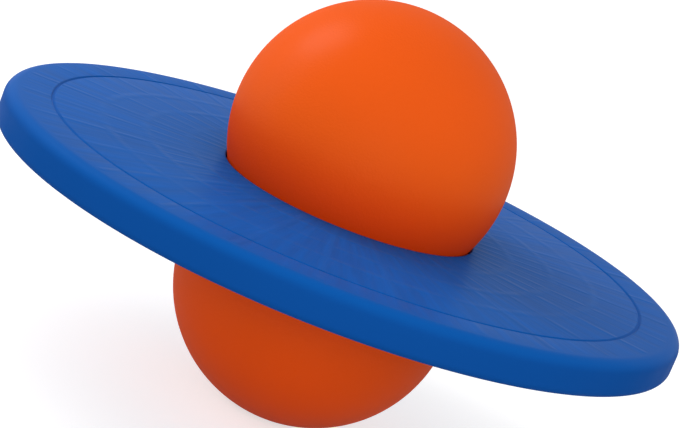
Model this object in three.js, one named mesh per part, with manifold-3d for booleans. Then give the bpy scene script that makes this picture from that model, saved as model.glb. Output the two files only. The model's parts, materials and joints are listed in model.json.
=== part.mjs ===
// Pogo ball: a round foot platform held by the waist of a two-lobed inflated ball.
// Millimetres, +Z up. The origin is the centre of the flat that the ball stands on.

import * as THREE from "three";
import { mergeVertices } from "three/addons/utils/BufferGeometryUtils.js";
import Module from "manifold-3d";

const wasm = await Module();
wasm.setup();

// Fits
const FIT_GAP = 0.3; // between pieces that touch

// Ball
const LOBE_RADIUS = 80.5;
const WAIST_INSET = 7.2; // how far the waist lies inside the lobes
const BALL_WALL = 3;
const FOOT_RADIUS = 15; // flat under the lower lobe

// Platform
const PLATFORM_RADIUS = 200;
const PLATFORM_HEIGHT = 20.5;
const RIM_WALL = 5.2;
const RIM_TOP_ROUND = 7;
const RIM_BOTTOM_ROUND = 4.5;
const TOP_WALL = 3.2;
const BOTTOM_WALL = 2.8;
const COLLAR_WALL = 4;
const HOLE_ROUND = 2.2;
const EDGE_LAND = 0.4; // straight part left beside a rounding
const GROOVE_INSET = 25.8; // from the rim to the middle of the groove
const GROOVE_WIDTH = 1.5;
const GROOVE_DEPTH = 0.8;

// Ribs under the upper deck
const RIB_COUNT = 28;
const RIB_WALL = 2.4;
const RING_COUNT = 3;
const FIRST_RING_OFFSET = 18.4; // from the collar to the first ring rib
const RING_SPACING = 25;

// Deck screws
const INNER_SCREW_COUNT = 7;
const OUTER_SCREW_COUNT = 14;
const INNER_SCREW_OFFSET = 8.6; // from the collar
const OUTER_SCREW_INSET = 40; // from the rim
const SCREW_HEAD_RADIUS = 3.6;
const SCREW_FACE_RADIUS = 2.5;
const SCREW_HEAD_HEIGHT = 2.4;
const SCREW_HEAD_EDGE = 1.2; // straight part of the head's side
const SCREW_SHANK_RADIUS = 1.75;
const SCREW_POINT_LENGTH = 2.5;
const SCREW_END_GAP = 2.3; // from the screw's point to the tread above it
const DRIVE_SPAN = 4.2;
const DRIVE_WIDTH = 1;
const DRIVE_DEPTH = 1.2;
const HEAD_CLEARANCE = 0.8; // between a screw's head and its pocket
const SEAT_DEPTH = 3.4; // from the underside to the seat of a screw's head
const SEAT_WALL = 2;
const CUP_WALL = 1.8;
const BOSS_WALL = 2.4;
const PILOT_EXTRA = 0.8; // pilot hole past the screw's point

// Valve, in the back of the upper lobe
const VALVE_LATITUDE = 35; // degrees above the lobe's equator
const PLUG_HEAD_RADIUS = 5.2;
const PLUG_HEAD_HEIGHT = 1.8;
const PLUG_SHANK_RADIUS = 3.8;
const PLUG_TIP_RADIUS = 3.2;
const PLUG_SHANK_LENGTH = 15;
const NAIL_SLOT_WIDTH = 1.4;
const NAIL_SLOT_DEPTH = 0.8;
const STEM_WALL = 1.5;
const STEM_END = 2; // stem past the plug's tip
const FLANGE_WIDTH = 6;
const FLANGE_WALL = 2;

// Fineness of round shapes
const PLATFORM_SIDES = 56;
const BALL_SIDES = 40;
const LOBE_STEPS = 6; // half the number of facets along a lobe
const HOLLOW_STEPS = 4; // the same inside
const ROUND_STEPS = 2;
const VALVE_SIDES = 20;
const SCREW_SIDES = 8;

// Overshoot of cutters and roots, so that no faces coincide
const OVERSHOOT = 1;

// Places worked out from the sizes, with z = 0 at the middle of the platform
const waistRadius = LOBE_RADIUS - WAIST_INSET;
const holeRadius = waistRadius + FIT_GAP;
const topZ = PLATFORM_HEIGHT / 2;
const bottomZ = -topZ;
const lobeOffset = topZ + sphereZ(LOBE_RADIUS, waistRadius);
const footZ = -lobeOffset - sphereZ(LOBE_RADIUS, FOOT_RADIUS);
const ceilingZ = topZ - TOP_WALL;
const floorZ = bottomZ + BOTTOM_WALL;
const ribFootZ = floorZ + FIT_GAP;
const collarOuter = holeRadius + COLLAR_WALL;
const rimInner = PLATFORM_RADIUS - RIM_WALL;
const grooveRadius = PLATFORM_RADIUS - GROOVE_INSET;
const seatZ = bottomZ + SEAT_DEPTH;
const cupTopZ = seatZ + SEAT_WALL;
const screwZ = seatZ - FIT_GAP;
const screwLength = ceilingZ - SCREW_END_GAP - screwZ;
const pocketRadius = SCREW_HEAD_RADIUS + HEAD_CLEARANCE;
const cupRadius = pocketRadius + CUP_WALL;
const pilotRadius = SCREW_SHANK_RADIUS + FIT_GAP;
const bossRadius = pilotRadius + BOSS_WALL;
const stemRadius = PLUG_HEAD_RADIUS + FIT_GAP + STEM_WALL;
const stemTopZ = sphereZ(LOBE_RADIUS, stemRadius);
const plugSeatZ = stemTopZ - PLUG_HEAD_HEIGHT;
const stemEndZ = plugSeatZ - PLUG_SHANK_LENGTH - STEM_END;
const flangeRadius = stemRadius + FLANGE_WIDTH;
const flangeOuter = LOBE_RADIUS - BALL_WALL - FIT_GAP;
const flangeInner = flangeOuter - FLANGE_WALL;

// Materials
const vinyl = new THREE.MeshStandardMaterial({ color: 0xe85412, roughness: 0.55, metalness: 0 });
const deckPlastic = new THREE.MeshStandardMaterial({ color: 0x1d5ca6, roughness: 0.4, metalness: 0 });
const plugPlastic = new THREE.MeshStandardMaterial({ color: 0xe9e6dc, roughness: 0.45, metalness: 0 });
const zinc = new THREE.MeshStandardMaterial({ color: 0xb4b8bc, roughness: 0.35, metalness: 1 });

// A closed geometry becomes a solid that can be joined and cut.
function solidFrom(geometry) {
  const bare = geometry.clone();
  bare.deleteAttribute("normal");
  bare.deleteAttribute("uv");
  const merged = mergeVertices(bare);
  const corners = merged.index.array;
  const triangles = [];
  for (let i = 0; i < corners.length; i += 3) {
    const [a, b, c] = corners.slice(i, i + 3);
    if (a !== b && b !== c && c !== a) triangles.push(a, b, c);
  }
  return new wasm.Manifold(
    new wasm.Mesh({
      numProp: 3,
      vertProperties: new Float32Array(merged.attributes.position.array),
      triVerts: new Uint32Array(triangles),
    }),
  );
}

function geometryFrom(solid) {
  const { vertProperties, triVerts } = solid.getMesh();
  const geometry = new THREE.BufferGeometry();
  geometry.setAttribute("position", new THREE.BufferAttribute(vertProperties, 3));
  geometry.setIndex(new THREE.BufferAttribute(triVerts, 1));
  geometry.computeVertexNormals();
  return geometry;
}

// A profile of (radius, height) points, drawn upwards on its outer side, turned about Z
// and then placed by a matrix where one is given.
function turned(points, sides, placing = new THREE.Matrix4()) {
  const geometry = new THREE.LatheGeometry(points, sides).rotateX(Math.PI / 2);
  return solidFrom(geometry.applyMatrix4(placing));
}

function block(width, depth, height) {
  return new THREE.BoxGeometry(width, depth, height);
}

// Height of a sphere about the origin at a distance from the Z axis.
function sphereZ(sphereRadius, distance) {
  return Math.sqrt(sphereRadius ** 2 - distance ** 2);
}

function joined(solid, additions) {
  return additions.reduce((whole, piece) => whole.add(piece), solid);
}

function cut(solid, cutters) {
  return cutters.reduce((whole, cutter) => whole.subtract(cutter), solid);
}

function named(name, solid, material) {
  const mesh = new THREE.Mesh(geometryFrom(solid), material);
  mesh.name = name;
  return mesh;
}

// Screws stand in the middle of the bays between ribs.
function screwPlaces(count, radius) {
  const halfBay = Math.PI / RIB_COUNT;
  return Array.from({ length: count }, (_, i) => {
    const angle = halfBay + (i * 2 * Math.PI) / count;
    return { x: radius * Math.cos(angle), y: radius * Math.sin(angle) };
  });
}

const innerScrews = screwPlaces(INNER_SCREW_COUNT, collarOuter + INNER_SCREW_OFFSET);
const outerScrews = screwPlaces(OUTER_SCREW_COUNT, PLATFORM_RADIUS - OUTER_SCREW_INSET);

// A round rod on the axis of every screw
function screwRods(radius, lowZ, highZ) {
  return [...innerScrews, ...outerScrews].map(({ x, y }) => {
    const rod = new THREE.CylinderGeometry(radius, radius, highZ - lowZ, SCREW_SIDES);
    return solidFrom(rod.rotateX(Math.PI / 2).translate(x, y, (lowZ + highZ) / 2));
  });
}

// Upper deck: tread, rim, collar and ring ribs in one turned profile
function upperDeckProfile() {
  const rimRound = Math.min(RIM_BOTTOM_ROUND, RIM_WALL - EDGE_LAND);
  const path = new THREE.Path();
  path.moveTo(holeRadius, ribFootZ);
  path.lineTo(collarOuter, ribFootZ);
  path.lineTo(collarOuter, ceilingZ);
  for (let ring = 0; ring < RING_COUNT; ring += 1) {
    const inner = collarOuter + FIRST_RING_OFFSET + ring * RING_SPACING - RIB_WALL / 2;
    path.lineTo(inner, ceilingZ);
    path.lineTo(inner, ribFootZ);
    path.lineTo(inner + RIB_WALL, ribFootZ);
    path.lineTo(inner + RIB_WALL, ceilingZ);
  }
  path.lineTo(rimInner, ceilingZ);
  path.lineTo(rimInner, bottomZ);
  path.lineTo(PLATFORM_RADIUS - rimRound, bottomZ);
  path.absarc(PLATFORM_RADIUS - rimRound, bottomZ + rimRound, rimRound, -Math.PI / 2, 0);
  path.lineTo(PLATFORM_RADIUS, topZ - RIM_TOP_ROUND);
  path.absarc(PLATFORM_RADIUS - RIM_TOP_ROUND, topZ - RIM_TOP_ROUND, RIM_TOP_ROUND, 0, Math.PI / 2);
  path.lineTo(grooveRadius + GROOVE_WIDTH / 2, topZ);
  path.lineTo(grooveRadius, topZ - GROOVE_DEPTH);
  path.lineTo(grooveRadius - GROOVE_WIDTH / 2, topZ);
  path.lineTo(holeRadius + HOLE_ROUND, topZ);
  path.absarc(holeRadius + HOLE_ROUND, topZ - HOLE_ROUND, HOLE_ROUND, Math.PI / 2, Math.PI);
  path.lineTo(holeRadius, ribFootZ);
  return path.getPoints(ROUND_STEPS);
}

function radialRibs() {
  const start = collarOuter - OVERSHOOT;
  const end = rimInner + OVERSHOOT;
  const height = ceilingZ + OVERSHOOT - ribFootZ;
  return Array.from({ length: RIB_COUNT }, (_, i) => {
    const rib = block(end - start, RIB_WALL, height);
    rib.translate((start + end) / 2, 0, ribFootZ + height / 2);
    rib.rotateZ((i * 2 * Math.PI) / RIB_COUNT);
    return solidFrom(rib);
  });
}

function upperDeck() {
  const shell = joined(turned(upperDeckProfile(), PLATFORM_SIDES), radialRibs());
  const bossFootZ = cupTopZ + FIT_GAP;
  const pilotEndZ = screwZ + screwLength + PILOT_EXTRA;
  const cupRoom = screwRods(cupRadius + FIT_GAP, floorZ, bossFootZ);
  const bosses = screwRods(bossRadius, bossFootZ, ceilingZ + OVERSHOOT);
  const pilots = screwRods(pilotRadius, floorZ, pilotEndZ);
  return cut(joined(cut(shell, cupRoom), bosses), pilots);
}

// Lower deck: a closing plate with a cup for each screw
function lowerDeckProfile() {
  const outer = rimInner - FIT_GAP;
  const lipRound = Math.min(HOLE_ROUND, BOTTOM_WALL - EDGE_LAND);
  const path = new THREE.Path();
  path.moveTo(holeRadius, floorZ);
  path.lineTo(holeRadius, bottomZ + lipRound);
  path.absarc(holeRadius + lipRound, bottomZ + lipRound, lipRound, Math.PI, 1.5 * Math.PI);
  path.lineTo(outer, bottomZ);
  path.lineTo(outer, floorZ);
  path.lineTo(holeRadius, floorZ);
  return path.getPoints(ROUND_STEPS);
}

function lowerDeck() {
  const plate = turned(lowerDeckProfile(), PLATFORM_SIDES);
  const cups = screwRods(cupRadius, floorZ - BOTTOM_WALL / 2, cupTopZ);
  const pockets = screwRods(pocketRadius, bottomZ - OVERSHOOT, seatZ);
  const holes = screwRods(pilotRadius, bottomZ - OVERSHOOT, cupTopZ + OVERSHOOT);
  return cut(joined(plate, cups), [...pockets, ...holes]);
}

// Screw: pan head below its seat at z = 0, shank and point above it, cross drive in the head
function screw() {
  const profile = new THREE.Path();
  profile.moveTo(0, -SCREW_HEAD_HEIGHT);
  profile.lineTo(SCREW_FACE_RADIUS, -SCREW_HEAD_HEIGHT);
  profile.lineTo(SCREW_HEAD_RADIUS, -SCREW_HEAD_EDGE);
  profile.lineTo(SCREW_HEAD_RADIUS, 0);
  profile.lineTo(SCREW_SHANK_RADIUS, 0);
  profile.lineTo(SCREW_SHANK_RADIUS, screwLength - SCREW_POINT_LENGTH);
  profile.lineTo(0, screwLength);
  const driveZ = -SCREW_HEAD_HEIGHT - OVERSHOOT + (DRIVE_DEPTH + OVERSHOOT) / 2;
  const drives = [0, Math.PI / 2].map((turn) => {
    const slot = block(DRIVE_SPAN, DRIVE_WIDTH, DRIVE_DEPTH + OVERSHOOT);
    return solidFrom(slot.translate(0, 0, driveZ).rotateZ(turn));
  });
  return cut(turned(profile.getPoints(), SCREW_SIDES), drives);
}

function screwMeshes(prefix, places) {
  return places.map(({ x, y }, i) => {
    const number = String(i + 1).padStart(2, "0");
    const mesh = named(`${prefix}_${number}`, screw(), zinc);
    mesh.position.set(x, y, screwZ);
    return mesh;
  });
}

// Ball: two lobes and a waist, hollow, with a hole for the valve's stem
function ballProfile(inset, steps) {
  const radius = LOBE_RADIUS - inset;
  const waist = waistRadius - inset;
  const lowZ = footZ + inset;
  const waistAngle = Math.acos(waist / radius);
  const footAngle = Math.asin((lobeOffset + lowZ) / radius);
  const waistZ = lobeOffset - radius * Math.sin(waistAngle);
  const path = new THREE.Path();
  path.moveTo(0, lowZ);
  path.lineTo(radius * Math.cos(footAngle), lowZ);
  path.absarc(0, -lobeOffset, radius, footAngle, waistAngle);
  path.lineTo(waist, waistZ);
  path.absarc(0, lobeOffset, radius, -waistAngle, Math.PI / 2);
  path.lineTo(0, lobeOffset + radius);
  return path.getPoints(steps);
}

// The valve's own frame has its origin at the upper lobe's centre and +Z out through the stem.
const valveFrame = new THREE.Group();
valveFrame.position.set(0, 0, lobeOffset);
valveFrame.rotation.x = THREE.MathUtils.degToRad(VALVE_LATITUDE - 90);
valveFrame.updateMatrix();

// Room in the ball's wall for the valve's stem and flange
function stemRoom() {
  const stem = stemRadius + FIT_GAP;
  const flange = flangeRadius + FIT_GAP;
  const wallInner = LOBE_RADIUS - BALL_WALL;
  const path = new THREE.Path();
  path.moveTo(0, sphereZ(flangeInner, flangeRadius) - OVERSHOOT);
  path.lineTo(flange, sphereZ(flangeInner, flangeRadius) - OVERSHOOT);
  path.lineTo(flange, sphereZ(wallInner, flange));
  path.lineTo(stem, sphereZ(wallInner, stem));
  path.lineTo(stem, LOBE_RADIUS + OVERSHOOT);
  path.lineTo(0, LOBE_RADIUS + OVERSHOOT);
  return turned(path.getPoints(), VALVE_SIDES, valveFrame.matrix);
}

function ballBladder() {
  const hollow = turned(ballProfile(BALL_WALL, HOLLOW_STEPS), BALL_SIDES);
  const skin = turned(ballProfile(0, LOBE_STEPS), BALL_SIDES);
  return cut(skin, [hollow, stemRoom()]);
}

// Valve seat: a bored stem through the wall, with a flange against the wall's inner face
function valveSeat() {
  const pocketZ = plugSeatZ - FIT_GAP;
  const path = new THREE.Path();
  path.moveTo(PLUG_TIP_RADIUS + FIT_GAP, stemEndZ);
  path.lineTo(stemRadius, stemEndZ);
  path.lineTo(stemRadius, sphereZ(flangeInner, stemRadius));
  path.lineTo(flangeRadius, sphereZ(flangeInner, flangeRadius));
  path.lineTo(flangeRadius, sphereZ(flangeOuter, flangeRadius));
  path.lineTo(stemRadius, sphereZ(flangeOuter, stemRadius));
  path.lineTo(stemRadius, stemTopZ);
  path.lineTo(PLUG_HEAD_RADIUS + FIT_GAP, stemTopZ);
  path.lineTo(PLUG_HEAD_RADIUS + FIT_GAP, pocketZ);
  path.lineTo(PLUG_SHANK_RADIUS + FIT_GAP, pocketZ);
  path.lineTo(PLUG_TIP_RADIUS + FIT_GAP, stemEndZ);
  return turned(path.getPoints(), VALVE_SIDES);
}

// Valve plug: a flat head in the seat's pocket, a tapered shank and a slot for a fingernail
function valvePlug() {
  const tipZ = plugSeatZ - PLUG_SHANK_LENGTH;
  const path = new THREE.Path();
  path.moveTo(0, tipZ);
  path.lineTo(PLUG_TIP_RADIUS, tipZ);
  path.lineTo(PLUG_SHANK_RADIUS, plugSeatZ);
  path.lineTo(PLUG_HEAD_RADIUS, plugSeatZ);
  path.lineTo(PLUG_HEAD_RADIUS, stemTopZ);
  path.lineTo(0, stemTopZ);
  const slot = block(2 * (PLUG_HEAD_RADIUS + OVERSHOOT), NAIL_SLOT_WIDTH, NAIL_SLOT_DEPTH + OVERSHOOT);
  slot.translate(0, 0, stemTopZ + (OVERSHOOT - NAIL_SLOT_DEPTH) / 2);
  return turned(path.getPoints(), VALVE_SIDES).subtract(solidFrom(slot));
}

valveFrame.add(
  named("valve_seat", valveSeat(), vinyl),
  named("valve_plug", valvePlug(), plugPlastic),
);

const platform = new THREE.Group();
platform.add(
  named("upper_deck", upperDeck(), deckPlastic),
  named("lower_deck", lowerDeck(), deckPlastic),
  ...screwMeshes("inner_screw", innerScrews),
  ...screwMeshes("outer_screw", outerScrews),
);

const pogoBall = new THREE.Group();
pogoBall.add(named("ball_bladder", ballBladder(), vinyl), valveFrame, platform);
pogoBall.position.z = -footZ;

export default pogoBall;
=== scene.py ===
"""Pogo ball: the finished look of a foot platform held by the waist of a two-lobed ball."""

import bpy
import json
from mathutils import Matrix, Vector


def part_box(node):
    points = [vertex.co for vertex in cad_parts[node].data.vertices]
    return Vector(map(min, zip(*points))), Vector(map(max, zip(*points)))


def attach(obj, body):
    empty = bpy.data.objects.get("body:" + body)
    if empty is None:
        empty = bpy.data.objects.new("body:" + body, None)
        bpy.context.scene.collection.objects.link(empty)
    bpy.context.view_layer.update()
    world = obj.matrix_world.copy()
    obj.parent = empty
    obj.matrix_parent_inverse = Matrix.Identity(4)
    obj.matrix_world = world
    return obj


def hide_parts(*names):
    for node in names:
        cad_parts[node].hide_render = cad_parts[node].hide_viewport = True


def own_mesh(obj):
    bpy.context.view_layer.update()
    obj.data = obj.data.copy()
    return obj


bl_info = {
    "name": "Pogo Ball",
    "version": (1, 0, 0),
    "blender": (4, 5, 0),
    "location": "3D View > Sidebar > Pogo Ball",
    "description": "Models and finishes the ball, the platform, the screws and the valve",
    "category": "Add Mesh",
}

import json
from math import asin, cos, degrees, pi, radians, sin, sqrt, tau

import bmesh
import bpy
from bpy.props import (
    FloatProperty,
    FloatVectorProperty,
    IntProperty,
    PointerProperty,
)
from bpy.types import NodeSocket, Operator, Panel, PropertyGroup
from mathutils import Matrix, Vector

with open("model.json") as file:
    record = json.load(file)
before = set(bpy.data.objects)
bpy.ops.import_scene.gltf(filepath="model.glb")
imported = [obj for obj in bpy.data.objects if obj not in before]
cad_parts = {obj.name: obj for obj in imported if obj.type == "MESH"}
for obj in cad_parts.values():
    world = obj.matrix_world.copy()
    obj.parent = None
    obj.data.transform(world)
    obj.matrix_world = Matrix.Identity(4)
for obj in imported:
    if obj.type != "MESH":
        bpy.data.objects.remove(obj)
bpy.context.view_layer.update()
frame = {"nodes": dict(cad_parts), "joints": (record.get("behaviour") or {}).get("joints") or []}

# Places that the frame gives
DECK_LOW, DECK_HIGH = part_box("upper_deck")
BALL_LOW, BALL_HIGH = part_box("ball_bladder")
SCREW_NODES = sorted(name for name in frame["nodes"] if "_screw_" in name)
SCREW_LOW, SCREW_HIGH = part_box(SCREW_NODES[0])
PLUG_JOINT = next(joint for joint in frame["joints"] if joint["name"] == "plug_pull")
DECK_MIDDLE = (DECK_LOW.z + DECK_HIGH.z) / 2

# The valve's own frame has its origin at the upper lobe's centre and +Z out through the stem.
VALVE_AXIS = Vector(PLUG_JOINT["axis"]).normalized()
VALVE_TURN = VALVE_AXIS.to_track_quat("Z", "X").to_matrix().to_4x4()


def centre_line(node):
    """Where a node's upright centre line meets the ground."""
    low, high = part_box(node)
    return Vector(((low.x + high.x) / 2, (low.y + high.y) / 2, 0))


SCREW_PLACES = [centre_line(name) for name in SCREW_NODES]

FIT_GAP = 0.0003
MERGE_DISTANCE = 1e-6

# Steps round a full turn, and along a lobe's outline
BALL_STEPS = 160
PLATFORM_STEPS = 224
CUP_STEPS = 40
BOSS_STEPS = 24
SCREW_STEPS = 32
THREAD_STEPS = 14
STEM_STEPS = 64
PLUG_STEPS = 48
FLOOR_STEPS = 96
LOBE_STEPS = 48

# A thread's root and half width, as shares of the screw's core and of its pitch
THREAD_ROOT = 0.9
THREAD_HALF = 0.3

# How the cross drive narrows towards its foot, and the turn from one screw to the next
DRIVE_TAPER = (0.7, 0.6, 1)
SCREW_TURN = radians(37)

# From the platform's middle to where the ball's painted shade starts to fade and to where it is gone
SHADE_FADE_START = 0.008
SHADE_FADE_END = 0.06

# How far the lower lobe's colour goes towards the lit orange; the rest stays painted shade
LOWER_LOBE_LIT_SHARE = 0.6

# How far under the tread's top its paler colour, a painted light on the top face, starts and is
# complete, and where its marks end
LIT_TOP_START = 0.006
LIT_TOP_FULL = 0.001
MARK_DEPTH = 0.0004

# Over what distance the tread's marks fade at the rim, and its lines at their ends
RIM_FADE = 0.004
LINE_FADE = 0.002

# Strength of the lines against those over the radial ribs, and of their paler colour, which is a
# painted sheen
SHORT_LINE = 0.6
RING_LINE = 1.15
LINE_PAINTED_SHEEN = 0.05

# How fast the flow streaks change round the platform and along its radius
STREAK_AROUND = 30.0
STREAK_ALONG = 18.0

# Depths of the relief in the finishes
STIPPLE_DEPTH = 0.00014
DENT_DEPTH = 0.0003
GRAIN_DEPTH = 0.000012
LINE_DEPTH = 0.0003
STREAK_DEPTH = 0.00011
WAX_DEPTH = 0.00001
PLATING_DEPTH = 0.000006

# The range that most of a noise lies in
NOISE_LOW = 0.3
NOISE_HIGH = 0.7

# Width of the camera's sensor in millimetres
SENSOR_WIDTH = 36


def length(label, default, description):
    return FloatProperty(
        name=label,
        description=description,
        default=default,
        min=0.0,
        unit="LENGTH",
        precision=5,
    )


def angle(label, default, description):
    return FloatProperty(
        name=label,
        description=description,
        default=default,
        subtype="ANGLE",
        precision=5,
    )


def light(label, default, description):
    return FloatProperty(
        name=label,
        description=description,
        default=default,
        min=0.0,
        precision=3,
    )


def colour(label, default, description):
    return FloatVectorProperty(
        name=label,
        description=description,
        default=default,
        size=3,
        min=0.0,
        max=1.0,
        subtype="COLOR",
    )


class BallSizes(PropertyGroup):
    """Sizes of the inflated ball."""

    lobe_radius: length("Lobe radius", 0.0805, "Radius of the upper and lower lobe")
    waist_radius: length("Waist radius", 0.0733, "Radius where the platform grips the ball")
    tuck: length("Tuck", 0.0024, "How far the lobes run in past the platform's lips")
    wall: length("Wall", 0.003, "Thickness of the vinyl")


class PlatformSizes(PropertyGroup):
    """Sizes of the two platform mouldings."""

    radius: length("Radius", DECK_HIGH.x, "Outer radius of the platform")
    rim_wall: length("Rim wall", 0.0052, "Thickness of the rim at its foot")
    rim_top_round: length("Rim top round", 0.007, "Rounding of the rim's upper edge")
    rim_bottom_round: length("Rim bottom round", 0.0045, "Rounding of the rim's lower edge")
    tread_wall: length("Tread wall", 0.0032, "Thickness of the tread")
    floor_wall: length("Floor wall", 0.0028, "Thickness of the closing plate")
    collar_wall: length("Collar wall", 0.004, "Thickness of the collar round the hole")
    hole_radius: length("Hole radius", 0.0736, "Radius of the hole for the ball")
    hole_round: length("Hole round", 0.0014, "Rounding of the hole's lips")
    groove_inset: length("Groove inset", 0.0258, "From the rim to the groove")
    groove_width: length("Groove width", 0.0019, "Width of the groove in the tread")
    groove_depth: length("Groove depth", 0.0009, "Depth of the groove in the tread")
    groove_round: length("Groove round", 0.0003, "Rounding of the groove's edges")
    rib_wall: length("Rib wall", 0.0024, "Thickness of the ribs under the tread")
    rib_count: IntProperty(name="Ribs", description="Radial ribs", default=28, min=3)
    ring_count: IntProperty(name="Rings", description="Ring ribs", default=3, min=1)
    first_ring: length("First ring", 0.096, "Radius of the innermost ring rib")
    ring_spacing: length("Ring spacing", 0.025, "Distance between ring ribs")


class ScrewSizes(PropertyGroup):
    """Sizes of the deck screws and of the cups that hold them."""

    head_radius: length("Head radius", 0.0036, "Radius of the pan head")
    head_height: length("Head height", 0.0024, "Height of the pan head")
    head_edge: length("Head edge", 0.0006, "Upright edge of the pan head under its dome")
    shank_radius: length("Shank radius", 0.00175, "Radius over the thread")
    core_radius: length("Core radius", 0.00125, "Radius under the thread")
    pitch: length("Pitch", 0.0014, "Rise of the thread in one turn")
    point_length: length("Point length", 0.0025, "Length of the pointed end")
    drive_span: length("Drive span", 0.0042, "Length of the cross drive's arms")
    drive_width: length("Drive width", 0.001, "Width of the cross drive's arms")
    drive_depth: length("Drive depth", 0.0012, "Depth of the cross drive")
    pocket_radius: length("Pocket radius", 0.0044, "Radius of the pocket round a head")
    pocket_chamfer: length("Pocket chamfer", 0.0005, "Broken edge of a pocket's mouth")
    cup_wall: length("Cup wall", 0.0018, "Wall of the cup round a pocket")
    seat_wall: length("Seat wall", 0.002, "Thickness under a screw's head")
    boss_wall: length("Boss wall", 0.0024, "Wall of the boss round a shank")


class ValveSizes(PropertyGroup):
    """Sizes of the valve's seat and plug."""

    plug_radius: length("Plug head radius", 0.0052, "Radius of the plug's head")
    plug_height: length("Plug head height", 0.0018, "Height of the plug's head")
    plug_edge: length("Plug edge", 0.0004, "Rounding of the head and chamfer of the tip")
    shank_radius: length("Plug shank radius", 0.0038, "Radius of the shank at the head")
    tip_radius: length("Plug tip radius", 0.0032, "Radius of the shank at its tip")
    shank_length: length("Plug shank length", 0.015, "Length of the shank")
    slot_width: length("Nail slot width", 0.0014, "Width of the slot for a fingernail")
    slot_depth: length("Nail slot depth", 0.0008, "Depth of the slot for a fingernail")
    stem_wall: length("Stem wall", 0.0015, "Wall of the stem round the plug's head")
    stem_end: length("Stem end", 0.002, "Stem past the plug's tip")
    flange_width: length("Flange width", 0.006, "Width of the flange inside the wall")
    flange_wall: length("Flange wall", 0.002, "Thickness of the flange")
    collar_width: length("Collar width", 0.0026, "Width of the raised ring outside the wall")
    collar_height: length("Collar height", 0.0006, "Height of the raised ring")


class Finishes(PropertyGroup):
    """Colours of the toy and of the floor."""

    # The waist colour is a painted shade: a deeper red where the platform shades the ball, at its
    # waist and over the lower lobe.
    ball: colour("Ball", (0.87, 0.101, 0.003), "Orange vinyl where it is stretched")
    waist: colour("Ball at the waist", (0.84, 0.056, 0.003), "Orange vinyl where it is thicker")
    deck: colour("Platform", (0.004, 0.075, 0.33), "Blue moulded plastic")
    # The tread colour is the platform's plastic painted paler for its lit top face, a painted light.
    tread: colour("Tread", (0.004, 0.099, 0.412), "The same plastic, paled by shoes")
    # The rib line colour is a painted sheen: the tread painted paler where the sink marks over the
    # ribs catch the light.
    line: colour("Rib lines", (0.09, 0.23, 0.55), "The tread over a rib, where it is paler")
    plug: colour("Plug", (0.80, 0.78, 0.70), "Natural white plastic")
    zinc: colour("Screws", (0.62, 0.64, 0.66), "Zinc plating")
    floor: colour("Floor", (0.62, 0.62, 0.62), "Studio floor")


class StudioSettings(PropertyGroup):
    """Camera and light."""

    distance: length("Distance", 1.12357, "From the camera to the platform")
    aim_height: length("Aim height", 0.1296, "Height of the point that the camera is set up on")
    shift_right: length("Shift right", 0.00446, "How far right of the middle the toy appears")
    shift_up: length("Shift up", 0.00543, "How far above the middle the toy appears")
    elevation: angle("Elevation", 0.22056, "How far the camera looks down")
    roll: angle("Roll", 0.37944, "How far the toy leans to the right in the picture")
    lens: FloatProperty(
        name="Lens",
        description="Focal length in millimetres on a 36 mm sensor",
        default=106.144,
        min=1.0,
        unit="CAMERA",
    )
    floor_radius: length("Floor radius", 30.0, "Radius of the floor")
    floor_glow: light("Floor glow", 0.62, "What the floor adds where it is seen, to be white")
    left_low: light("Left low", 0.20, "Level of the broad soft box low at the left")
    left_high: light("Left high", 0.20, "Level of the smaller soft box high at the left")
    front_low: light("Front low", 0.32, "Level of the fill low in front")
    room: light("Room", 0.68, "Level of the light that comes from all round")


class PogoBallSettings(PropertyGroup):
    """All that a user would change."""

    ball: PointerProperty(type=BallSizes)
    platform: PointerProperty(type=PlatformSizes)
    screw: PointerProperty(type=ScrewSizes)
    valve: PointerProperty(type=ValveSizes)
    finish: PointerProperty(type=Finishes)
    studio: PointerProperty(type=StudioSettings)


# Strokes of an outline in the XZ plane: each takes its last vertex and returns its new end.
def line_to(radius, height):
    def stroke(bm, vert):
        end = bmesh.ops.extrude_vert_indiv(bm, verts=[vert])["verts"][0]
        end.co = (radius, 0, height)
        return end

    return stroke


def arc_about(radius, height, turn, steps):
    """A stroke that turns about a centre by degrees, positive from the radius towards the height."""

    def stroke(bm, vert):
        made = bmesh.ops.spin(
            bm,
            geom=[vert],
            cent=(radius, 0, height),
            axis=(0, -1, 0),
            angle=radians(turn),
            steps=steps,
        )
        return next(item for item in made["geom_last"] if isinstance(item, bmesh.types.BMVert))

    return stroke


def on_arc(radius, height, size, turn):
    """The point at an angle in degrees from the horizontal on a circle in the outline's plane."""
    return radius + size * cos(radians(turn)), height + size * sin(radians(turn))


def turned(bm, start, strokes, steps):
    """Turns an outline about the Z axis and returns the vertices that it makes."""
    before = set(bm.verts)
    vert = bm.verts.new((start[0], 0, start[1]))
    for stroke in strokes:
        vert = stroke(bm, vert)
    outline = [item for item in bm.verts if item not in before]
    edges = {edge for item in outline for edge in item.link_edges}
    bmesh.ops.spin(
        bm,
        geom=[*outline, *edges],
        cent=(0, 0, 0),
        axis=(0, 0, 1),
        angle=tau,
        steps=steps,
        use_merge=True,
    )
    made = [item for item in bm.verts if item not in before]
    bmesh.ops.remove_doubles(bm, verts=made, dist=MERGE_DISTANCE)
    return [item for item in bm.verts if item not in before]


def faces_of(verts):
    return list({face for vert in verts for face in vert.link_faces})


def face_outwards(bm, verts):
    bmesh.ops.recalc_face_normals(bm, faces=faces_of(verts))


def move(bm, verts, matrix):
    bmesh.ops.transform(bm, matrix=matrix, verts=verts)


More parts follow.
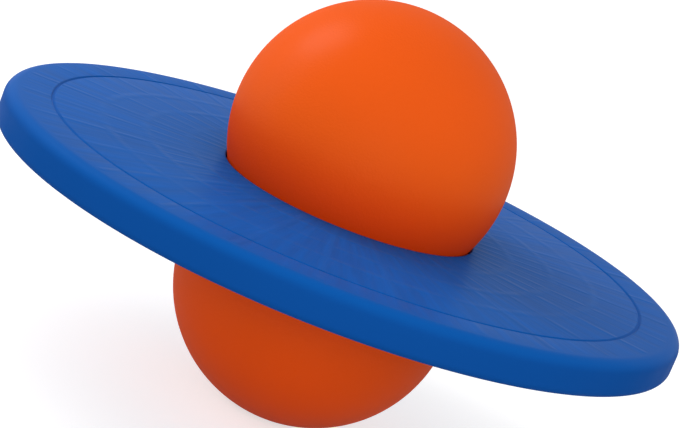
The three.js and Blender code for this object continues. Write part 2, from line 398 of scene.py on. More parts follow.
def copies_at(bm, verts, offsets):
    """Leaves the shape at the first offset and a copy of it at each of the others."""
    geom = [*verts, *faces_of(verts)]
    for offset in offsets[1:]:
        made = bmesh.ops.duplicate(bm, geom=geom)["geom"]
        moved = [item for item in made if isinstance(item, bmesh.types.BMVert)]
        bmesh.ops.translate(bm, vec=offset, verts=moved)
    bmesh.ops.translate(bm, vec=offsets[0], verts=verts)


def mesh_object(bm, name):
    mesh = bpy.data.meshes.new(name)
    bm.to_mesh(mesh)
    bm.free()
    made = bpy.data.objects.new(name, mesh)
    bpy.context.scene.collection.objects.link(made)
    return made


def smooth(piece, sharp_degrees=35):
    piece.data.shade_smooth()
    piece.data.set_sharp_from_angle(angle=radians(sharp_degrees))


def join_or_cut(piece, operation, tool):
    """Joins a closed piece with a tool or cuts it by the tool, which is then deleted."""
    modifier = piece.modifiers.new("join or cut", "BOOLEAN")
    modifier.operation = operation
    modifier.solver = "MANIFOLD"
    modifier.object = tool
    depsgraph = bpy.context.evaluated_depsgraph_get()
    result = bpy.data.meshes.new_from_object(piece.evaluated_get(depsgraph))
    piece.modifiers.clear()
    old = piece.data
    piece.data = result
    result.name = old.name
    bpy.data.meshes.remove(old)
    bpy.data.objects.remove(tool)


def dress(piece, material, body, slot, *nodes):
    """Gives a finished piece its material and its body, and hides the nodes that it stands for."""
    piece.data.materials.clear()
    piece.data.materials.append(material)
    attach(piece, body)
    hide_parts(*nodes)


# Material nodes
class Finish:
    """A material whose nodes are added in short calls."""

    def __init__(self, name):
        self.material = bpy.data.materials.new(name)
        self.material.use_nodes = True
        self.tree = self.material.node_tree
        self.shader = self.tree.nodes["Principled BSDF"]

    def node(self, kind, inputs, **settings):
        made = self.tree.nodes.new(kind)
        for name, value in settings.items():
            setattr(made, name, value)
        for name, value in inputs.items():
            self.feed(made.inputs[name], value)
        return made

    def feed(self, socket, value):
        if isinstance(value, NodeSocket):
            self.tree.links.new(value, socket)
        else:
            socket.default_value = value

    def maths(self, operation, *values):
        made = self.tree.nodes.new("ShaderNodeMath")
        made.operation = operation
        for socket, value in zip(made.inputs, values):
            self.feed(socket, value)
        return made.outputs[0]

    def place(self):
        return self.node("ShaderNodeTexCoord", {}).outputs["Object"]

    def noise(self, scale, detail=3.0, roughness=0.5):
        return self.noise_at(self.place(), scale, detail, roughness)

    def noise_at(self, place, scale, detail, roughness):
        inputs = {"Vector": place, "Scale": scale, "Detail": detail, "Roughness": roughness}
        return self.node("ShaderNodeTexNoise", inputs).outputs["Fac"]

    def spread(self, value, low, high, to_low, to_high, kind="SMOOTHSTEP"):
        inputs = {
            "Value": value,
            "From Min": low,
            "From Max": high,
            "To Min": to_low,
            "To Max": to_high,
        }
        return self.node("ShaderNodeMapRange", inputs, interpolation_type=kind).outputs["Result"]

    def wander(self, noise, low, high, kind="SMOOTHSTEP"):
        """Takes the range that most of a noise lies in to a range of its own."""
        return self.spread(noise, NOISE_LOW, NOISE_HIGH, low, high, kind)

    def blend(self, amount, first, second):
        made = self.tree.nodes.new("ShaderNodeMix")
        made.data_type = "RGBA"
        self.feed(made.inputs["Factor"], amount)
        self.feed(made.inputs["A"], first)
        self.feed(made.inputs["B"], second)
        return made.outputs["Result"]

    def bump(self, height, distance, normal=None):
        inputs = {"Height": height, "Distance": distance, "Strength": 1.0}
        if normal is not None:
            inputs["Normal"] = normal
        return self.node("ShaderNodeBump", inputs).outputs["Normal"]

    def mottle(self, amount, rgb, low, high):
        """A colour that wanders between a darker and a lighter share of itself."""
        return self.blend(amount, tint(rgb, low), tint(rgb, high))

    def set(self, **values):
        """Sets inputs of the shader, with their names' spaces written as underscores."""
        for name, value in values.items():
            self.feed(self.shader.inputs[name.replace("_", " ")], value)


def tint(rgb, factor):
    return (*[min(1.0, part * factor) for part in rgb], 1.0)


def vinyl_finish(name, finish):
    """Soft stippled vinyl, painted a deeper red towards the waist and in the lower lobe, a painted
    shade where the platform shades the ball.
    """
    made = Finish(name)
    height = made.node("ShaderNodeSeparateXYZ", {"Vector": made.place()}).outputs["Z"]
    above = made.spread(height, DECK_MIDDLE + SHADE_FADE_START, DECK_MIDDLE + SHADE_FADE_END, 0.0, 1.0)
    below = made.spread(
        height, DECK_MIDDLE - SHADE_FADE_END, DECK_MIDDLE - SHADE_FADE_START, LOWER_LOBE_LIT_SHARE, 0.0
    )
    # Share of the lit orange against the painted shade of the waist colour
    lit_share = made.maths("ADD", above, below)
    cloud = made.noise(14.0, 2.0)
    painted_shade_red = made.mottle(cloud, finish.waist, 0.95, 1.05)
    lit_orange = made.mottle(cloud, finish.ball, 0.96, 1.04)
    stipple = made.bump(made.noise(900.0, 2.0), STIPPLE_DEPTH)
    normal = made.bump(made.noise(22.0, 1.0), DENT_DEPTH, stipple)
    made.set(Base_Color=made.blend(lit_share, painted_shade_red, lit_orange))
    made.set(Roughness=made.wander(made.noise(60.0), 0.39, 0.46))
    made.set(Normal=normal, Coat_Normal=normal)
    made.set(Specular_IOR_Level=0.0, Coat_Weight=0.12, Coat_IOR=1.8, Coat_Roughness=0.32)
    return made.material


def deck_finish(name, finish, sizes, marked):
    """Satin moulded plastic. A marked tread is painted paler on its top face, a painted light, and
    shows the ribs underneath.
    """
    made = Finish(name)
    base = made.mottle(made.noise(9.0, 3.0), finish.deck, 0.95, 1.05)
    rough = made.wander(made.noise(45.0, 4.0), 0.56, 0.66)
    normal = made.bump(made.noise(1800.0, 2.0), GRAIN_DEPTH)
    if marked:
        painted_lit_top, lines, streaks = tread_marks(made, sizes)
        tread = made.mottle(streaks, finish.tread, 0.89, 1.11)
        # The lines are painted paler, a painted sheen on the sink marks; their relief comes from the
        # bumps further down.
        painted_sheen = made.maths("MULTIPLY", lines, LINE_PAINTED_SHEEN)
        tread = made.blend(painted_sheen, tread, tint(finish.line, 1.0))
        # The top face takes the paler tread colour, which is painted light; below it the platform
        # keeps its own colour.
        base = made.blend(painted_lit_top, base, tread)
        polish = made.maths("SUBTRACT", made.wander(streaks, 0.40, 0.44), rough)
        rough = made.maths("MULTIPLY_ADD", painted_lit_top, polish, rough)
        normal = made.bump(lines, LINE_DEPTH, normal)
        normal = made.bump(streaks, STREAK_DEPTH, normal)
    made.set(Base_Color=base, Roughness=rough, Normal=normal)
    made.set(Specular_IOR_Level=0.012)
    return made.material


def tread_marks(made, sizes):
    """Where the tread's top is painted paler as lit, the lines over the ribs, and radial flow
    streaks.
    """
    split = made.node("ShaderNodeSeparateXYZ", {"Vector": made.place()}).outputs
    x, y, z = split["X"], split["Y"], split["Z"]
    radius = made.maths("SQRT", made.maths("MULTIPLY_ADD", x, x, made.maths("MULTIPLY", y, y)))
    top = DECK_HIGH.z
    painted_lit_top = made.spread(z, top - LIT_TOP_START, top - LIT_TOP_FULL, 0.0, 1.0)
    edge = sizes.radius - sizes.rim_top_round
    within = made.spread(radius, edge - RIM_FADE, edge, 1.0, 0.0)
    on_tread = made.maths("MULTIPLY", within, made.spread(z, top - MARK_DEPTH, top, 0.0, 1.0))
    lines = made.maths("MULTIPLY", rib_lines(made, sizes, x, y, radius), on_tread)
    streaks = radial_streaks(made, x, y, radius)
    streaks = made.maths("MULTIPLY_ADD", made.maths("SUBTRACT", streaks, 0.5), on_tread, 0.5)
    return painted_lit_top, lines, streaks


def rib_lines(made, sizes, x, y, radius):
    """Lines over the ribs, strongest at their middles, fainter in patches."""
    turn = made.maths("DIVIDE", made.maths("ARCTAN2", y, x), tau / sizes.rib_count)
    rib = line_over(made, arc_to_nearest(made, turn, sizes, radius), 1.5 * sizes.rib_wall)
    between = made.maths("ADD", turn, 0.5)
    short = line_over(made, arc_to_nearest(made, between, sizes, radius), sizes.rib_wall)
    second_ring = sizes.first_ring + sizes.ring_spacing
    inner = made.spread(radius, second_ring - LINE_FADE, second_ring, SHORT_LINE, 0.0)
    past_first = made.maths("SUBTRACT", radius, sizes.first_ring)
    ring_number = made.maths("DIVIDE", past_first, sizes.ring_spacing)
    off_ring = made.maths("SUBTRACT", ring_number, made.maths("ROUND", ring_number))
    ring_distance = made.maths("ABSOLUTE", made.maths("MULTIPLY", off_ring, sizes.ring_spacing))
    ring = line_over(made, ring_distance, 2 * sizes.rib_wall)
    last_ring = sizes.first_ring + (sizes.ring_count - 0.5) * sizes.ring_spacing
    ring_share = made.spread(radius, last_ring - LINE_FADE, last_ring, RING_LINE, 0.0)
    lines = made.maths("MAXIMUM", rib, made.maths("MULTIPLY", short, inner))
    lines = made.maths("MAXIMUM", lines, made.maths("MULTIPLY", ring, ring_share))
    patches = made.spread(made.noise(38.0, 2.0), 0.35, 0.65, 0.3, 1.0)
    return made.maths("MULTIPLY", lines, patches)


def radial_streaks(made, x, y, radius):
    """Noise drawn out along the radius, as the plastic flowed into the mould."""
    around = made.node(
        "ShaderNodeCombineXYZ",
        {
            "X": made.maths("MULTIPLY", made.maths("DIVIDE", x, radius), STREAK_AROUND),
            "Y": made.maths("MULTIPLY", made.maths("DIVIDE", y, radius), STREAK_AROUND),
            "Z": made.maths("MULTIPLY", radius, STREAK_ALONG),
        },
    ).outputs["Vector"]
    return made.wander(made.noise_at(around, 1.0, 3.0, 0.6), 0.0, 1.0, "LINEAR")


def arc_to_nearest(made, turn, sizes, radius):
    """How far a point lies along its circle from the nearest whole number of turns of one bay."""
    off = made.maths("ABSOLUTE", made.maths("SUBTRACT", turn, made.maths("ROUND", turn)))
    return made.maths("MULTIPLY", made.maths("MULTIPLY", off, tau / sizes.rib_count), radius)


def line_over(made, distance, half_width):
    return made.spread(distance, 0.0, half_width, 1.0, 0.0)


def plug_finish(name, rgb):
    """Unpigmented polyethylene, slightly waxy."""
    made = Finish(name)
    made.set(Base_Color=made.mottle(made.noise(180.0, 2.0), rgb, 0.93, 1.03))
    made.set(Roughness=made.wander(made.noise(700.0), 0.38, 0.48))
    made.set(Normal=made.bump(made.noise(2500.0), WAX_DEPTH))
    return made.material


def zinc_finish(name, rgb):
    """Bright zinc plating with a fine crystalline patch to its gloss."""
    made = Finish(name)
    patch = made.noise(900.0, 3.0)
    made.set(Base_Color=made.mottle(patch, rgb, 0.85, 1.1))
    made.set(Roughness=made.wander(patch, 0.26, 0.4))
    made.set(Normal=made.bump(made.noise(4000.0), PLATING_DEPTH))
    made.set(Metallic=1.0)
    return made.material


# Ball
def lobe_offset(sizes):
    """From the middle of the platform to the centre of a lobe."""
    return BALL_HIGH.z - sizes.lobe_radius - DECK_MIDDLE


def neck_height(sizes):
    """Where the two lobes meet, just inside the platform's lower lip."""
    return DECK_LOW.z + sizes.tuck


def reach(radius, offset):
    """How far a circle reaches at an offset from its centre."""
    return sqrt(radius**2 - offset**2)


def degrees_at(radius, rise):
    """The angle at which a circle is at a rise above its centre."""
    return degrees(asin(rise / radius))


def lower_lobe(bm, sizes):
    """The cup that the platform squeezes against the ground, from the foot up and back."""
    outer = sizes.lobe_radius
    inner = outer - sizes.wall
    centre = DECK_MIDDLE - lobe_offset(sizes)
    neck = neck_height(sizes)
    rise = neck - centre
    drop = centre - BALL_LOW.z
    outer_turn = degrees_at(outer, drop) + degrees_at(outer, rise)
    inner_turn = degrees_at(inner, drop - sizes.wall) + degrees_at(inner, rise)
    strokes = [
        line_to(reach(outer, drop), BALL_LOW.z),
        arc_about(0, centre, outer_turn, LOBE_STEPS),
        line_to(reach(inner, rise), neck),
        arc_about(0, centre, -inner_turn, LOBE_STEPS // 2),
        line_to(0, BALL_LOW.z + sizes.wall),
    ]
    return turned(bm, (0, BALL_LOW.z), strokes, BALL_STEPS)


def upper_lobe(bm, sizes):
    """The lobe above the platform and the waist that it grips, from the pole down and back."""
    outer = sizes.lobe_radius
    inner = outer - sizes.wall
    centre = DECK_MIDDLE + lobe_offset(sizes)
    low_neck = neck_height(sizes)
    high_neck = 2 * DECK_MIDDLE - low_neck
    low_grip = low_neck + sizes.tuck
    high_grip = high_neck - sizes.tuck
    drop = centre - high_neck
    waist = sizes.waist_radius
    strokes = [
        arc_about(0, centre, -90 - degrees_at(outer, drop), LOBE_STEPS),
        line_to(waist, high_grip),
        line_to(waist, low_grip),
        line_to(reach(outer, drop), low_neck),
        line_to(reach(inner, drop), low_neck),
        line_to(waist - sizes.wall, low_grip),
        line_to(waist - sizes.wall, high_grip),
        line_to(reach(inner, drop), high_neck),
        arc_about(0, centre, 90 + degrees_at(inner, drop), LOBE_STEPS // 2),
    ]
    return turned(bm, (0, centre + outer), strokes, BALL_STEPS)


def valve_place(sizes):
    """Takes the valve's own frame to its place in the upper lobe."""
    centre = Vector((0, 0, DECK_MIDDLE + lobe_offset(sizes)))
    return Matrix.Translation(centre) @ VALVE_TURN


def stem_radius(valve):
    """Outer radius of the stem, whose mouth takes the plug's head."""
    return valve.plug_radius + FIT_GAP + valve.stem_wall


def stem_top(ball, valve):
    """Where the stem's side meets the lobe's surface, from the lobe's centre."""
    return reach(ball.lobe_radius, stem_radius(valve))


class POGO_OT_ball(Operator):
    """Model the ball's two lobes, the upper one with its waist and the hole for the valve"""

    bl_idname = "pogo.ball"
    bl_label = "Ball"

    def execute(self, context):
        settings = context.scene.pogo_ball
        sizes = settings.ball
        vinyl = vinyl_finish("ball_vinyl", settings.finish)
        lower = self.lobe("ball_lower_lobe", lower_lobe, sizes)
        smooth(lower, sharp_degrees=18)
        dress(lower, vinyl, "ball", "ball_vinyl", "ball_bladder")
        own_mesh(lower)
        upper = self.lobe("ball_upper_lobe", upper_lobe, sizes)
        join_or_cut(upper, "DIFFERENCE", self.stem_room(settings))
        smooth(upper, sharp_degrees=18)
        dress(upper, vinyl, "platform", "ball_vinyl", "ball_bladder")
        return {"FINISHED"}

    def lobe(self, name, shape, sizes):
        bm = bmesh.new()
        face_outwards(bm, shape(bm, sizes))
        return mesh_object(bm, name)

    def stem_room(self, settings):
        """A bar that cuts the stem's hole through the wall."""
        radius = stem_radius(settings.valve) + FIT_GAP
        low = settings.ball.lobe_radius - 3 * settings.ball.wall
        high = settings.ball.lobe_radius + settings.ball.wall
        bm = bmesh.new()
        strokes = [line_to(radius, low), line_to(radius, high), line_to(0, high)]
        verts = turned(bm, (0, low), strokes, PLUG_STEPS)
        face_outwards(bm, verts)
        move(bm, verts, valve_place(settings.ball))
        return mesh_object(bm, "stem_room")


# Platform
class POGO_OT_upper_deck(Operator):
    """Model the tread with its rim, collar, ribs and screw bosses"""

    bl_idname = "pogo.upper_deck"
    bl_label = "Upper deck"

    def execute(self, context):
        settings = context.scene.pogo_ball
        sizes = settings.platform
        bm = bmesh.new()
        face_outwards(bm, self.shell(bm, sizes))
        piece = mesh_object(bm, "upper_deck_moulding")
        join_or_cut(piece, "UNION", self.ribs(sizes))
        join_or_cut(piece, "UNION", self.bosses(sizes, settings.screw))
        smooth(piece)
        material = deck_finish("tread_plastic", settings.finish, sizes, True)
        dress(piece, material, "platform", "deck_plastic", "upper_deck")
        return {"FINISHED"}

    def shell(self, bm, sizes):
        top = DECK_HIGH.z
        bottom = DECK_LOW.z
        ceiling = top - sizes.tread_wall
        rib_foot = bottom + sizes.floor_wall + FIT_GAP
        collar = sizes.hole_radius + sizes.collar_wall
        rim_inner = sizes.radius - sizes.rim_wall
        lower_round = sizes.rim_bottom_round
        upper_round = sizes.rim_top_round
        lip = sizes.hole_round
        groove = sizes.radius - sizes.groove_inset
        half_groove = sizes.groove_width / 2
        half_floor = half_groove / 4
        shoulder = sizes.groove_round
        shoulder_turn = 60
        outer_shoulder = groove + half_groove + shoulder
        inner_shoulder = groove - half_groove - shoulder
        strokes = [line_to(collar, rib_foot), line_to(collar, ceiling)]
        for ring in range(sizes.ring_count):
            middle = sizes.first_ring + ring * sizes.ring_spacing
            inner = middle - sizes.rib_wall / 2
            outer = middle + sizes.rib_wall / 2
            strokes += [line_to(inner, ceiling), line_to(inner, rib_foot)]
            strokes += [line_to(outer, rib_foot), line_to(outer, ceiling)]
        strokes += [
            line_to(rim_inner, ceiling),
            line_to(rim_inner, bottom),
            line_to(sizes.radius - lower_round, bottom),
            arc_about(sizes.radius - lower_round, bottom + lower_round, 90, 10),
            line_to(sizes.radius, top - upper_round),
            arc_about(sizes.radius - upper_round, top - upper_round, 90, 14),
            line_to(outer_shoulder, top),
            arc_about(outer_shoulder, top - shoulder, shoulder_turn, 4),
            line_to(groove + half_floor, top - sizes.groove_depth),
            line_to(groove - half_floor, top - sizes.groove_depth),
            line_to(*on_arc(inner_shoulder, top - shoulder, shoulder, 90 - shoulder_turn)),
            arc_about(inner_shoulder, top - shoulder, shoulder_turn, 4),
            line_to(sizes.hole_radius + lip, top),
            arc_about(sizes.hole_radius + lip, top - lip, 90, 8),
            line_to(sizes.hole_radius, rib_foot),
        ]
        return turned(bm, (sizes.hole_radius, rib_foot), strokes, PLATFORM_STEPS)

    def ribs(self, sizes):
        start = sizes.hole_radius + sizes.collar_wall / 2
        end = sizes.radius - sizes.rim_wall / 2
        low = DECK_LOW.z + sizes.floor_wall + FIT_GAP
        high = DECK_HIGH.z - sizes.tread_wall / 2
        scale = Matrix.Diagonal((end - start, sizes.rib_wall, high - low, 1))
        place = Matrix.Translation(((start + end) / 2, 0, (low + high) / 2))
        bm = bmesh.new()
        for index in range(sizes.rib_count):
            turn = Matrix.Rotation(index * tau / sizes.rib_count, 4, "Z")
            bmesh.ops.create_cube(bm, size=1, matrix=turn @ place @ scale)
        return mesh_object(bm, "radial_ribs")

    def bosses(self, sizes, screw):
        inner = screw.shank_radius + FIT_GAP
        outer = inner + screw.boss_wall
        low = SCREW_LOW.z + screw.head_height + FIT_GAP + screw.seat_wall + FIT_GAP
        high = DECK_HIGH.z - sizes.tread_wall / 2
        end = SCREW_HIGH.z + 2 * FIT_GAP
        bm = bmesh.new()
        strokes = [line_to(outer, low), line_to(outer, high), line_to(0, high)]
        verts = turned(bm, (inner, low), strokes, BOSS_STEPS)
        bore = turned(bm, (inner, low), [line_to(inner, end), line_to(0, end)], BOSS_STEPS)
        whole = [*verts, *bore]
        bmesh.ops.remove_doubles(bm, verts=whole, dist=MERGE_DISTANCE)
        whole = [vert for vert in whole if vert.is_valid]
        face_outwards(bm, whole)
        copies_at(bm, whole, SCREW_PLACES)
        return mesh_object(bm, "screw_bosses")


class POGO_OT_lower_deck(Operator):
    """Model the plate that closes the platform, with a pocket for each screw"""

    bl_idname = "pogo.lower_deck"
    bl_label = "Lower deck"

    def execute(self, context):
        settings = context.scene.pogo_ball
        sizes = settings.platform
        screw = settings.screw
        bm = bmesh.new()
        face_outwards(bm, self.plate(bm, sizes))
        piece = mesh_object(bm, "lower_deck_moulding")
        join_or_cut(piece, "UNION", self.cups(sizes, screw))
        join_or_cut(piece, "DIFFERENCE", self.pockets(screw))
        smooth(piece)
        material = deck_finish("underside_plastic", settings.finish, sizes, False)
        dress(piece, material, "platform", "deck_plastic", "lower_deck")
        return {"FINISHED"}

    def plate(self, bm, sizes):
        bottom = DECK_LOW.z
        top = bottom + sizes.floor_wall
        outer = sizes.radius - sizes.rim_wall - FIT_GAP
        lip = sizes.hole_round
        chamfer = lip / 4
        strokes = [
            line_to(sizes.hole_radius, bottom + lip),
            arc_about(sizes.hole_radius + lip, bottom + lip, 90, 8),
            line_to(outer - chamfer, bottom),
            line_to(outer, bottom + chamfer),
            line_to(outer, top),
            line_to(sizes.hole_radius, top),
        ]
        return turned(bm, (sizes.hole_radius, top), strokes, PLATFORM_STEPS)

    def cups(self, sizes, screw):
        low = DECK_LOW.z + sizes.floor_wall / 2
        high = SCREW_LOW.z + screw.head_height + FIT_GAP + screw.seat_wall
        radius = screw.pocket_radius + screw.cup_wall
        bm = bmesh.new()
        strokes = [line_to(radius, low), line_to(radius, high), line_to(0, high)]
        verts = turned(bm, (0, low), strokes, CUP_STEPS)
        face_outwards(bm, verts)
        copies_at(bm, verts, SCREW_PLACES)
        return mesh_object(bm, "screw_cups")

    def pockets(self, screw):
        low = DECK_LOW.z
        seat = SCREW_LOW.z + screw.head_height + FIT_GAP
        chamfer = screw.pocket_chamfer
        hole = screw.shank_radius + FIT_GAP
        bm = bmesh.new()
        strokes = [
            line_to(screw.pocket_radius + 2 * chamfer, low - chamfer),
            line_to(screw.pocket_radius, low + chamfer),
            line_to(screw.pocket_radius, seat),
            line_to(hole, seat),
            line_to(hole, seat + 2 * screw.seat_wall),
            line_to(0, seat + 2 * screw.seat_wall),
        ]
        verts = turned(bm, (0, low - chamfer), strokes, CUP_STEPS)
        face_outwards(bm, verts)
        copies_at(bm, verts, SCREW_PLACES)
        return mesh_object(bm, "screw_pockets")


# Screws
class POGO_OT_screws(Operator):
    """Model the self-tapping screws that hold the two decks together"""

    bl_idname = "pogo.screws"
    bl_label = "Screws"

    def execute(self, context):
        settings = context.scene.pogo_ball
        zinc = zinc_finish("screw_zinc", settings.finish.zinc)
        pattern = self.screw(settings.screw)
        for index, (name, spot) in enumerate(zip(SCREW_NODES, SCREW_PLACES)):
            bm = bmesh.new()
            bm.from_mesh(pattern.data)
            turn = Matrix.Rotation(index * SCREW_TURN, 4, "Z")
            move(bm, bm.verts, Matrix.Translation(spot) @ turn)
            piece = mesh_object(bm, name + "_plated")
            smooth(piece, sharp_degrees=30)
            dress(piece, zinc, "platform", "screw_zinc", name)
        bpy.data.objects.remove(pattern)
        return {"FINISHED"}

    def screw(self, sizes):
        """One screw on the Z axis."""
        low = SCREW_LOW.z
        seat = low + sizes.head_height
        tip = SCREW_HIGH.z
        point = tip - sizes.point_length
        dome = sizes.head_height - sizes.head_edge
        bm = bmesh.new()
        strokes = [
            line_to(sizes.head_radius - dome, low),
            arc_about(sizes.head_radius - dome, low + dome, 90, 8),
            line_to(sizes.head_radius, seat),
            line_to(sizes.core_radius, seat),
            line_to(sizes.core_radius, point),
            line_to(0, tip),
        ]
        face_outwards(bm, turned(bm, (0, low), strokes, SCREW_STEPS))
        piece = mesh_object(bm, "screw_pattern")
        join_or_cut(piece, "DIFFERENCE", self.drive(sizes))
        join_or_cut(piece, "UNION", self.thread(sizes, seat + sizes.pitch, point))
        return piece

    def thread(self, sizes, start, end):
        """A sharp ridge that winds round the core, closed at both ends."""
        turns = int((end - start) / sizes.pitch)
        root = sizes.core_radius * THREAD_ROOT
        half = sizes.pitch * THREAD_HALF
        bm = bmesh.new()
        corners = [
            bm.verts.new((root, 0, start - half)),
            bm.verts.new((sizes.shank_radius, 0, start)),
            bm.verts.new((root, 0, start + half)),
        ]
        section = bm.faces.new(corners)
        bmesh.ops.spin(
            bm,
            geom=[section, *section.edges, *corners],
            cent=(0, 0, 0),
            axis=(0, 0, 1),
            dvec=(0, 0, sizes.pitch / THREAD_STEPS),
            angle=turns * tau,
            steps=turns * THREAD_STEPS,
        )
        face_outwards(bm, bm.verts)
        return mesh_object(bm, "screw_thread")

    def drive(self, sizes):
        """A cross that narrows towards its foot."""
        arm = (sizes.drive_span, sizes.drive_width, 2 * sizes.drive_depth)
        bm = bmesh.new()
        for turn in (0, pi / 2):
            made = bmesh.ops.create_cube(bm, size=1)["verts"]
            bmesh.ops.scale(bm, vec=arm, verts=made)
            upper = [vert for vert in made if vert.co.z > 0]
            bmesh.ops.scale(bm, vec=DRIVE_TAPER, verts=upper)
            bmesh.ops.translate(bm, vec=(0, 0, SCREW_LOW.z), verts=made)
            move(bm, made, Matrix.Rotation(turn, 4, "Z"))
        return mesh_object(bm, "cross_drive")


# Valve
class POGO_OT_valve_seat(Operator):
    """Model the valve's stem with its flange inside the wall and its ring outside"""

    bl_idname = "pogo.valve_seat"
    bl_label = "Valve seat"

    def execute(self, context):
        settings = context.scene.pogo_ball
        valve = settings.valve
        ball = settings.ball
        stem = stem_radius(valve)
        top = stem_top(ball, valve)
        plug_seat = top - valve.plug_height
        end = plug_seat - valve.shank_length - valve.stem_end
        flange_outer = ball.lobe_radius - ball.wall - FIT_GAP
        flange_inner = flange_outer - valve.flange_wall
        flange = stem + valve.flange_width
        ring = stem + valve.collar_width
        ring_foot = reach(ball.lobe_radius, ring)
        pocket = valve.plug_radius + FIT_GAP
        crown = top + valve.collar_height
        edge = valve.collar_height / 2
        strokes = [
            line_to(stem, end),
            line_to(stem, reach(flange_inner, stem)),
            line_to(flange, reach(flange_inner, flange)),
            line_to(flange, reach(flange_outer, flange)),
            line_to(stem, reach(flange_outer, stem)),
            line_to(stem, ring_foot - FIT_GAP),
            line_to(ring, ring_foot - FIT_GAP),
            line_to(ring, ring_foot),
            line_to(ring - edge, ring_foot + edge),
            line_to(stem, crown - edge / 4),
            line_to(pocket + edge, crown),
            line_to(pocket, crown - edge),
            line_to(pocket, plug_seat - FIT_GAP),
            line_to(valve.shank_radius + FIT_GAP, plug_seat - FIT_GAP),
            line_to(valve.tip_radius + FIT_GAP, end),
        ]
        bm = bmesh.new()
        verts = turned(bm, (valve.tip_radius + FIT_GAP, end), strokes, STEM_STEPS)
        face_outwards(bm, verts)
        move(bm, verts, valve_place(ball))
        piece = mesh_object(bm, "valve_stem")
        smooth(piece, sharp_degrees=40)
        material = vinyl_finish("valve_vinyl", settings.finish)
        dress(piece, material, "platform", "valve_vinyl", "valve_seat")
        return {"FINISHED"}


class POGO_OT_valve_plug(Operator):
    """Model the tapered stopper with its slot for a fingernail"""

    bl_idname = "pogo.valve_plug"
    bl_label = "Valve plug"

    def execute(self, context):
        settings = context.scene.pogo_ball
        valve = settings.valve
        ball = settings.ball
        top = stem_top(ball, valve)
        seat = top - valve.plug_height
        tip = seat - valve.shank_length
        edge = valve.plug_edge
        strokes = [
            line_to(valve.tip_radius - edge, tip),
            line_to(valve.tip_radius, tip + edge),
            line_to(valve.shank_radius, seat),
            line_to(valve.plug_radius, seat),
            line_to(valve.plug_radius, top - edge),
            arc_about(valve.plug_radius - edge, top - edge, 90, 4),
            line_to(0, top),
        ]
        bm = bmesh.new()
        verts = turned(bm, (0, tip), strokes, PLUG_STEPS)
        face_outwards(bm, verts)
        move(bm, verts, valve_place(ball))
        piece = mesh_object(bm, "valve_stopper")
        join_or_cut(piece, "DIFFERENCE", self.nail_slot(valve, top, valve_place(ball)))
        smooth(piece, sharp_degrees=40)
        material = plug_finish("plug_plastic", settings.finish.plug)
        dress(piece, material, "plug", "plug_plastic", "valve_plug")
        return {"FINISHED"}

    def nail_slot(self, valve, top, place):
        bm = bmesh.new()
        verts = bmesh.ops.create_cube(bm, size=1)["verts"]
        span = 3 * valve.plug_radius
        bmesh.ops.scale(bm, vec=(span, valve.slot_width, 2 * valve.slot_depth), verts=verts)
        bmesh.ops.translate(bm, vec=(0, 0, top), verts=verts)
        move(bm, verts, place)
        return mesh_object(bm, "nail_slot")


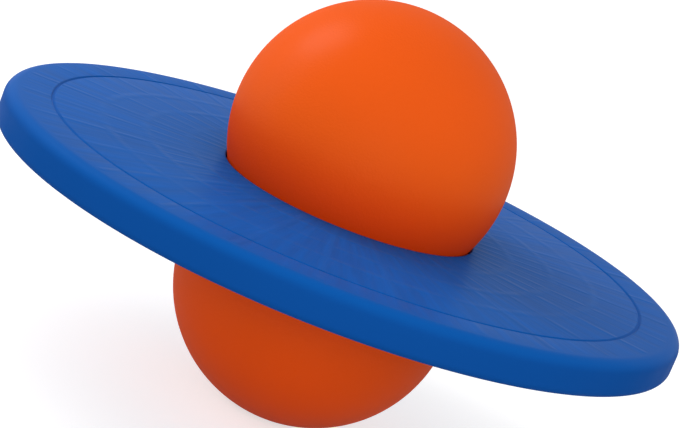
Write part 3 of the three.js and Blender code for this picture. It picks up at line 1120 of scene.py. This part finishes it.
# Stage
class POGO_OT_stage(Operator):
    """Set up the floor, the light and the camera"""

    bl_idname = "pogo.stage"
    bl_label = "Stage"

    def execute(self, context):
        settings = context.scene.pogo_ball
        self.floor(settings)
        self.world(context.scene, settings.studio)
        self.camera(context.scene, settings.studio)
        self.lamps(context.scene, settings.studio)
        context.scene.view_settings.view_transform = "Standard"
        return {"FINISHED"}

    def floor(self, settings):
        radius = settings.studio.floor_radius
        bm = bmesh.new()
        bmesh.ops.create_circle(bm, cap_ends=True, segments=FLOOR_STEPS, radius=radius)
        piece = mesh_object(bm, "studio_floor")
        made = Finish("studio_floor")
        made.set(Base_Color=tint(settings.finish.floor, 1.0), Roughness=0.9)
        made.set(Specular_IOR_Level=0.0, Emission_Color=(1, 1, 1, 1))
        glow = made.shader.inputs["Emission Strength"]
        self.where_seen(made.tree, 0.0, settings.studio.floor_glow, glow)
        self.open_below(made.tree, made.shader)
        piece.data.materials.append(made.material)

    def where_seen(self, tree, unseen, seen, socket):
        """Gives a socket one value where it is seen or mirrored, and another where it lights."""
        rays = tree.nodes.new("ShaderNodeLightPath").outputs
        either = rays["Is Camera Ray"]
        for name in ("Is Glossy Ray", "Is Transmission Ray"):
            larger = tree.nodes.new("ShaderNodeMath")
            larger.operation = "MAXIMUM"
            tree.links.new(either, larger.inputs[0])
            tree.links.new(rays[name], larger.inputs[1])
            either = larger.outputs[0]
        value = tree.nodes.new("ShaderNodeMapRange")
        value.inputs["To Min"].default_value = unseen
        value.inputs["To Max"].default_value = seen
        tree.links.new(either, value.inputs["Value"])
        tree.links.new(value.outputs["Result"], socket)

    def open_below(self, tree, shader):
        """Lets a camera under the floor see the toy's underside."""
        back = tree.nodes.new("ShaderNodeNewGeometry").outputs["Backfacing"]
        clear = tree.nodes.new("ShaderNodeBsdfTransparent")
        mix = tree.nodes.new("ShaderNodeMixShader")
        tree.links.new(back, mix.inputs[0])
        tree.links.new(shader.outputs[0], mix.inputs[1])
        tree.links.new(clear.outputs[0], mix.inputs[2])
        tree.links.new(mix.outputs[0], tree.nodes["Material Output"].inputs["Surface"])

    def world(self, scene, studio):
        world = bpy.data.worlds.new("studio")
        world.use_nodes = True
        background = world.node_tree.nodes["Background"]
        background.inputs["Color"].default_value = (1, 1, 1, 1)
        self.where_seen(world.node_tree, studio.room, 1.0, background.inputs["Strength"])
        scene.world = world

    def camera(self, scene, studio):
        level = Vector((1, 0, 0))
        lift = Vector((0, sin(studio.elevation), cos(studio.elevation)))
        back = Vector((0, -cos(studio.elevation), sin(studio.elevation)))
        right = cos(studio.roll) * level + sin(studio.roll) * lift
        up = -sin(studio.roll) * level + cos(studio.roll) * lift
        aim = Vector((0, 0, studio.aim_height))
        place = aim - studio.shift_right * right - studio.shift_up * up + studio.distance * back
        data = bpy.data.cameras.new("camera")
        data.lens = studio.lens
        data.sensor_width = SENSOR_WIDTH
        data.clip_start = 0.05
        data.clip_end = 200
        camera = bpy.data.objects.new("camera", data)
        turn = Matrix((right, up, back)).transposed().to_4x4()
        camera.matrix_world = Matrix.Translation(place) @ turn
        scene.collection.objects.link(camera)
        scene.camera = camera

    def lamps(self, scene, studio):
        """One soft box that makes the highlight on the ball, and two that only fill."""
        side = self.soft_box(
            "left_low", studio.left_low, towards=(-0.93, 0.24, 0.28), distance=1.0, width=0.85
        )
        key = self.soft_box(
            "left_high", studio.left_high, towards=(-0.68, 0.28, 0.68), distance=1.0, width=0.48
        )
        fill = self.soft_box(
            "front_low", studio.front_low, towards=(0.14, -0.96, 0.22), distance=2.0, width=1.40
        )
        for lamp in (side, fill):
            lamp.visible_glossy = False
        for lamp in (side, key, fill):
            scene.collection.objects.link(lamp)

    def soft_box(self, name, level, towards, distance, width):
        """A lamp that lights a white card in the platform's middle to the given level."""
        data = bpy.data.lights.new(name, "AREA")
        data.shape = "DISK"
        data.size = width
        data.energy = level * pi**2 * (distance**2 + (width / 2) ** 2)
        lamp = bpy.data.objects.new(name, data)
        way = Vector(towards).normalized()
        lamp.location = Vector((0, 0, DECK_MIDDLE)) + distance * way
        lamp.rotation_euler = way.to_track_quat("Z", "Y").to_euler()
        lamp.visible_camera = False
        return lamp


OPERATORS = (
    POGO_OT_stage,
    POGO_OT_upper_deck,
    POGO_OT_lower_deck,
    POGO_OT_screws,
    POGO_OT_ball,
    POGO_OT_valve_seat,
    POGO_OT_valve_plug,
)


class POGO_PT_sidebar(Panel):
    """Lists the pieces and the sizes and colours that they are made from"""

    bl_idname = "POGO_PT_sidebar"
    bl_label = "Pogo Ball"
    bl_space_type = "VIEW_3D"
    bl_region_type = "UI"
    bl_category = "Pogo Ball"

    def draw(self, context):
        settings = context.scene.pogo_ball
        for operator in OPERATORS:
            self.layout.operator(operator.bl_idname)
        for name in ("ball", "platform", "screw", "valve", "finish", "studio"):
            group = getattr(settings, name)
            box = self.layout.box()
            box.label(text=name.capitalize())
            for key in group.__annotations__:
                box.prop(group, key)


CLASSES = (
    BallSizes,
    PlatformSizes,
    ScrewSizes,
    ValveSizes,
    Finishes,
    StudioSettings,
    PogoBallSettings,
    *OPERATORS,
    POGO_PT_sidebar,
)


def register():
    for item in CLASSES:
        bpy.utils.register_class(item)
    bpy.types.Scene.pogo_ball = PointerProperty(type=PogoBallSettings)


def unregister():
    del bpy.types.Scene.pogo_ball
    for item in reversed(CLASSES):
        bpy.utils.unregister_class(item)


def main():
    register()
    bpy.ops.pogo.stage()
    bpy.ops.pogo.upper_deck()
    bpy.ops.pogo.lower_deck()
    bpy.ops.pogo.screws()
    bpy.ops.pogo.ball()
    bpy.ops.pogo.valve_seat()
    bpy.ops.pogo.valve_plug()


if __name__ == "__main__":
    main()
